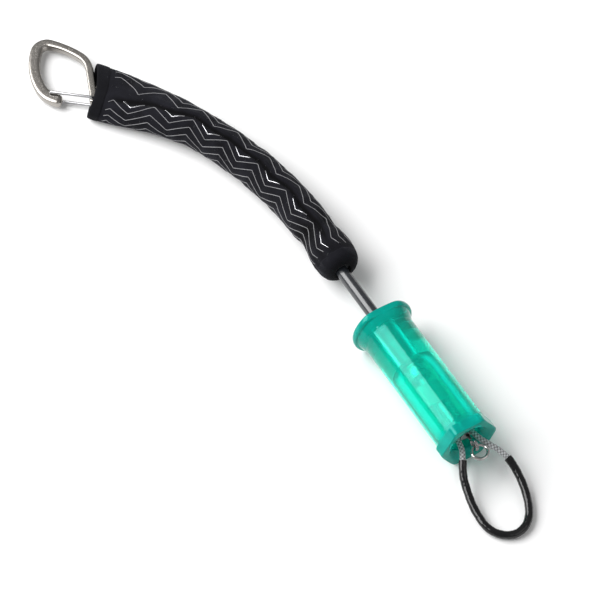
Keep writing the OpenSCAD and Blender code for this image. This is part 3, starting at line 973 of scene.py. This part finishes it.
class LIPGRIP_OT_sleeve(bpy.types.Operator):
    """Make the floating sleeve: cover, hem, mouth band, plug, foam, zigzag lines and lint"""
    bl_idname = "lip_grip.sleeve"
    bl_label = "Floating sleeve"

    def execute(self, context):
        settings = context.scene.lip_grip_sleeve
        dark, light = list(settings.cloth_dark), list(settings.cloth_light)
        cloth = knitted("sleeve_knit", dark, light)
        band_cloth = knitted("band_knit", [c * 0.8 for c in dark], [c * 0.7 for c in light], 0.4)
        hem_cloth = knitted("hem_knit", dark, [c * 1.1 for c in light], 0.5, 0.1)
        sides, rows, lining_rows = 120, 230, 40
        along = [mix(COVER_FROM, COVER_TO, i / rows) for i in range(rows + 1)]
        outer = [sleeve_ring(t, sides) for t in along]
        inner = [sleeve_ring(mix(COVER_TO, COVER_FROM, i / lining_rows), sides, COVER_WALL + 0.9, 0)
                 for i in range(lining_rows + 1)]
        distances = [t * SLEEVE_LENGTH for t in along]
        distances += [distances[-1] + 1 + i * 5 for i in range(lining_rows + 1)]
        # Heights from the cloth's relief: the knit finish paints the crease and other sunken parts darker, as painted
        # shade.
        heights = [min(1.0, max(0.15, 1.0 + 0.62 * relief(t, angle))) for t in along for angle in angles(sides)]
        cover = piece("sleeve_cover_knit", shell(outer + inner, distances, "loop"), cloth, "root",
                      ("sleeve_cover",), 80, heights)
        self.band(band_cloth, sides)
        self.hem(hem_cloth, sides)
        self.plug()
        self.foam()
        self.lines(settings)
        self.lint(settings, cover)
        self.leash()
        return {"FINISHED"}

    def band(self, cloth, sides):
        """Turned edge at the mouth, standing a little proud of the cover."""
        start, lip, proud = 0.966, 0.992, -0.25
        rows = [(start, 0.1)]
        for i in range(1, 9):
            rows.append((mix(start, lip, i / 8), proud - 0.1 * math.sin(math.pi * i / 8)))
        for i in range(1, 9):
            a = math.pi * i / 8
            rows.append((lip + 0.008 * math.sin(a), mix(proud, COVER_WALL, (1 - math.cos(a)) / 2)))
        rows += [(0.985, COVER_WALL), (0.972, COVER_WALL - 0.1)]
        rings = [sleeve_ring(t, sides, inset, 0.6) for t, inset in rows]
        distances = [i * 0.8 for i in range(len(rows))]
        piece("mouth_band", shell(rings, distances, "loop"), cloth, "root", ("mouth_binding",), 80,
              [0.8] * (sides * len(rows)))

    def hem(self, cloth, sides):
        """Rolled end of the cover round the rod, painted darker the deeper it rolls in: painted shade."""
        rows = [(0.033, 1.2), (0.032, 0.3)]
        for i in range(17):
            a = math.pi / 2 * i / 16
            rows.append((0.031 * (1 - math.sin(a) ** 0.9), 6.6 * (1 - math.cos(a)) ** 1.2))
        rows += [(0.003, 7.1), (0.009, 7.2), (0.018, 6.9), (0.026, 5.0), (0.031, 3.0)]
        rings = [sleeve_ring(t, sides, inset, 1 if inset < 2 else 0.4) for t, inset in rows]
        # The heights fall as the roll turns inwards: painted shade in the mouth's recess.
        piece("sleeve_hem_roll", shell(rings, [i * 0.7 for i in range(len(rows))], "loop"), cloth, "root",
              ("sleeve_hem",), 80, [max(0.05, 1 - inset / 7) for _, inset in rows for _ in range(sides)])

    def plug(self):
        rubber = foam("plug_rubber", (0.004, 0.004, 0.005), (0.014, 0.014, 0.016))
        sides, bore = 96, TUBE_RADIUS + 0.05
        hole = [[HANDLE + Vector((x, -bore * math.cos(a), AXIS_Z + bore * math.sin(a))) for a in angles(sides)]
                for x in (SLEEVE_END_X - 1.7, SLEEVE_END_X - 6.2)]
        rims = [sleeve_ring(t, sides, 7.4, 0) for t in (0.0085, 0.02, 0.03)]
        piece("sleeve_plug_rubber", shell([hole[0]] + rims + [hole[1]], None, "loop"), rubber, "root",
              ("sleeve_plug",))

    def foam(self):
        grey = foam("core_foam", (0.03, 0.03, 0.032), (0.09, 0.09, 0.092))
        sides, rows, start, stop = 48, 40, 0.04, 0.84
        rings = [sleeve_ring(mix(start, stop, i / rows), sides, COVER_WALL + 1.2, 0) for i in range(rows + 1)]
        for i in range(rows + 1):
            t = mix(stop, start, i / rows)
            c, w = bezier(t), bezier_way(t)
            side = Vector((-w[1], w[0], 0))
            centre = HANDLE + Vector((c[0], c[1], sleeve_z(t)))
            high = min(FOAM_BORE, sleeve_half_height(t) - 3)
            rings.append([centre + side * (FOAM_BORE * math.cos(a)) + UP * (high * math.sin(a))
                          for a in angles(sides)])
        core = piece("foam_tube", shell(rings, None, "loop"), grey, "root", ("foam_core",), 60)

    def lines(self, settings):
        """Zigzag lines that follow the cloth, and short pieces of the line along its crease in a bright metallic
        finish: painted highlight.
        """
        grey = painted_line("zigzag_thread", list(settings.line_colour), 0.6)
        # A bright metallic copy of the line's finish: painted highlight where the line crosses the crease.
        crease_highlight_paint = painted_line("crease_line_painted_highlight", (0.75, 0.75, 0.78), 0.25, 0.8)
        first, last, step = 0.045 * SLEEVE_LENGTH, 0.957 * SLEEVE_LENGTH, 0.7
        steps = [first + i * step for i in range(int((last - first) / step) + 1)]
        zigzags = [[pattern_point(distance, CREASE_ANGLE + 2 * math.pi * k / settings.lines, ZIGZAG_RISE)
                    for distance in steps] for k in range(1, settings.lines)]
        tree = piping_tree()
        grown("zigzag_lines", edge_lines("zigzag_paths", zigzags), tree,
              {"Width": settings.line_width, "Material": grey}, "root")

        # Pieces of the zigzag line along the crease, near each corner, where the painted highlight goes.
        highlight_pieces, reach = [], ZIGZAG_PERIOD / 4
        for n in range(int((last - first) / ZIGZAG_PERIOD) + 1):
            corner = (n + 0.5) * ZIGZAG_PERIOD
            near = [corner + reach * (i / 10 - 1) for i in range(21)]
            highlight_piece = [pattern_point(distance, CREASE_ANGLE - 0.12, ZIGZAG_RISE * 0.9, -0.05)
                      for distance in near if first < distance < last]
            if len(highlight_piece) > 2:
                highlight_pieces.append(highlight_piece)
        grown("crease_line_highlights", edge_lines("crease_highlight_paths", highlight_pieces), tree,
              {"Width": settings.line_width * 1.5, "Material": crease_highlight_paint}, "root")

    def lint(self, settings, cover):
        """Loose fibres on the part of the cover that faces up."""
        fibre = painted_line("lint_fibre", (0.16, 0.16, 0.165), 0.8)
        upper = cover.data.copy()
        bm = bmesh.new()
        bm.from_mesh(upper)
        lowest, steepest = 6 * MM, -0.2
        hidden = [f for f in bm.faces if f.calc_center_median().z < lowest or f.normal.z < steepest]
        bmesh.ops.delete(bm, geom=hidden, context="FACES")
        bm.to_mesh(upper)
        bm.free()
        grown("lint", upper, lint_tree(), {"Density": settings.lint, "Material": fibre}, "root")

    def leash(self):
        """Cord from the rod to the clip's eye, and the loop of cord through the lug."""
        # Its darkest colour is painted shade in the braid's hollows.
        black = yarn("leash_yarn", (0.008, 0.008, 0.009), (0.05, 0.05, 0.052))
        middle = [HANDLE + Vector((*bezier(t), sleeve_z(t))) for t in (mix(0.2, 0.85, i / 20) for i in range(21))]
        lug = lug_point()
        route = [HANDLE + Vector((ROD_INNER_X - 5, 0, AXIS_Z)), HANDLE + Vector((ROD_INNER_X - 10, 0.3, AXIS_Z - 0.1))]
        route += middle + [lug + leash_way(20), lug + leash_way(16.6)]
        points = evened(smooth_route(route, 0, len(route) - 1, 6), 0.5)
        radius = LEASH_RADIUS - 0.05
        weave = braid(radius, 5, 11)
        braided("leash_braid", *tube_rings(points, weave, 40), weave, radius, black, "leash_cord")
        centre = lug + leash_way(EYE_CORD_BEND)
        way = leash_way(1)
        girth = 2 * math.pi * EYE_CORD_BEND
        out = way.cross(UP)
        radius, count = EYE_CORD_RADIUS - 0.02, 120
        weave = braid(radius, 4, girth / 4)
        rings, distances = [], [girth * i / count for i in range(count)]
        for turn, distance in zip(angles(count), distances):
            away = way * math.cos(turn) + UP * math.sin(turn)
            ring = []
            for a in angles(32):
                r = weave(a, distance)
                ring.append(centre + away * (EYE_CORD_BEND + r * math.cos(a)) + out * (r * math.sin(a)))
            rings.append(ring)
        braided("cord_eye_braid", rings, distances, weave, radius, black, "cord_eye", "loop")


class LIPGRIP_OT_clip(bpy.types.Operator):
    """Make the forged clip bar and its wire gate"""
    bl_idname = "lip_grip.clip"
    bl_label = "Clip"

    def solid(self, name, points, faces):
        """A closed helper body in the clip's own frame, placed in the row frame."""
        turn = clip_turn()
        mesh = bpy.data.meshes.new(name)
        mesh.from_pydata([(HANDLE + CLIP_PLACE + turn @ Vector(p)) * MM for p in points], [], faces)
        face_outwards(mesh)
        return placed(name, mesh)

    def disc(self, name, place, radius, low, high, edge=0.0, sides=64):
        """An upright disc or drill, with rounded edges if it has an edge size."""
        rows = [(low, radius), (high, radius)]
        if edge:
            round_off = [(edge * (1 - math.sin(a)), radius - edge * (1 - math.cos(a))) for a in [0, *quarter(4)]]
            rows = [(low + dz, r) for dz, r in reversed(round_off)] + [(high - dz, r) for dz, r in round_off]
        rings = [[Vector((place[0] + r * math.cos(a), place[1] + r * math.sin(a), z)) for a in angles(sides)]
                 for z, r in rows]
        points, faces, _ = shell(rings)
        return self.solid(name, points, faces)

    def bar(self):
        """The forged bar: flat faces with rounded rims, wider round its wide end."""
        stations, along = [], 0.0
        place, heading = Vector(BAR_START), math.radians(BAR_HEADING)
        for length, turn in BAR_STEPS:
            turn = math.radians(turn)
            count = math.ceil(length / 0.7)
            for k in range(count):
                u = k / count
                stations.append((arc_end(place, heading, length * u, turn * u), heading + turn * u, along + length * u))
            place, heading, along = arc_end(place, heading, length, turn), heading + turn, along + length
        stations.append((place, heading, along))
        rings = []
        for p, h, d in stations:
            end = min(d, along - d) / 2.4
            shrink = 1 if end >= 1 else math.sqrt(max(0.0, 1 - (1 - end) ** 2)) * 0.75 + 0.25
            half = (BAR_WIDTH + BAR_FLARE * smooth((d - 50) / 25)) / 2 * shrink
            ring = []
            for a in angles(56):
                x = blunt(math.cos(a), 0.5)
                z = blunt(math.sin(a), 0.44) * (0.955 + 0.045 * x * x)
                ring.append(Vector((p[0] - math.sin(h) * x * half, p[1] + math.cos(h) * x * half,
                                    z * BAR_THICKNESS / 2 * shrink)))
            rings.append(ring)
        points, faces, _ = shell(rings)
        return self.solid("clip_bar", points, faces)

    def execute(self, context):
        settings = context.scene.lip_grip_clip
        forged = metal("forged_satin", list(settings.metal_colour), 0.24)
        wire = metal("gate_wire", list(settings.wire_colour), 0.16, True)
        bar = self.bar()
        high = BAR_THICKNESS
        seat = GATE_PIVOT + Vector((math.cos(GATE_ANGLE), math.sin(GATE_ANGLE))) * GATE_LENGTH
        steps = [("UNION", self.disc("lug", LUG_PLACE, 5.2, -2.2, 2.2, 0.7)),
                 ("DIFFERENCE", self.disc("lug_drill", LUG_PLACE, 2.4, -high, high)),
                 ("DIFFERENCE", self.disc("seat_drill", seat, 1.2, -high, high))]
        for side in (-1, 1):
            low, top = sorted((side * (high / 2 - 1.8), side * high))
            steps.append(("DIFFERENCE", self.disc("pin_drill", GATE_PIVOT, 0.95, low, top, sides=32)))
        for operation, tool in steps:
            modifier = bar.modifiers.new(operation.lower(), "BOOLEAN")
            modifier.operation, modifier.object, modifier.solver = operation, tool, "EXACT"
        mesh = applied(bar)
        for obj in (bar, *(tool for _, tool in steps)):
            bpy.data.objects.remove(obj)
        if len(mesh.polygons) < 1000:
            raise RuntimeError("the clip's bar came out empty")
        finished("clip_forging", mesh, forged, "clip", ("clip_frame",), 38)
        refined("clip_gate", "clip_gate_wire", wire, "gate", 0)
        return {"FINISHED"}


class LIPGRIP_PT_panel(bpy.types.Panel):
    """The lip grip's build steps and settings"""
    bl_label = "Lip Grip"
    bl_idname = "LIPGRIP_PT_panel"
    bl_space_type = "VIEW_3D"
    bl_region_type = "UI"
    bl_category = "Lip Grip"

    def draw(self, context):
        layout = self.layout
        for operator in OPERATORS:
            layout.operator(operator.bl_idname, text=operator.bl_label)
        for group in SETTINGS:
            settings = getattr(context.scene, group)
            box = layout.box()
            for key in settings.__annotations__:
                box.prop(settings, key)


OPERATORS = (LIPGRIP_OT_stage, LIPGRIP_OT_loop, LIPGRIP_OT_handle, LIPGRIP_OT_fittings, LIPGRIP_OT_sleeve,
             LIPGRIP_OT_clip)
SETTINGS = {
    "lip_grip_stage": LipGripStageSettings,
    "lip_grip_loop": LipGripLoopSettings,
    "lip_grip_handle": LipGripHandleSettings,
    "lip_grip_sleeve": LipGripSleeveSettings,
    "lip_grip_clip": LipGripClipSettings,
}


def register():
    for cls in (*SETTINGS.values(), *OPERATORS, LIPGRIP_PT_panel):
        bpy.utils.register_class(cls)
    for name, cls in SETTINGS.items():
        setattr(bpy.types.Scene, name, PointerProperty(type=cls))


def unregister():
    for name in SETTINGS:
        delattr(bpy.types.Scene, name)
    for cls in reversed((*SETTINGS.values(), *OPERATORS, LIPGRIP_PT_panel)):
        bpy.utils.unregister_class(cls)


def main():
    register()
    bpy.ops.lip_grip.stage()
    bpy.ops.lip_grip.loop()
    bpy.ops.lip_grip.handle()
    bpy.ops.lip_grip.fittings()
    bpy.ops.lip_grip.sleeve()
    bpy.ops.lip_grip.clip()


if __name__ == "__main__":
    main()
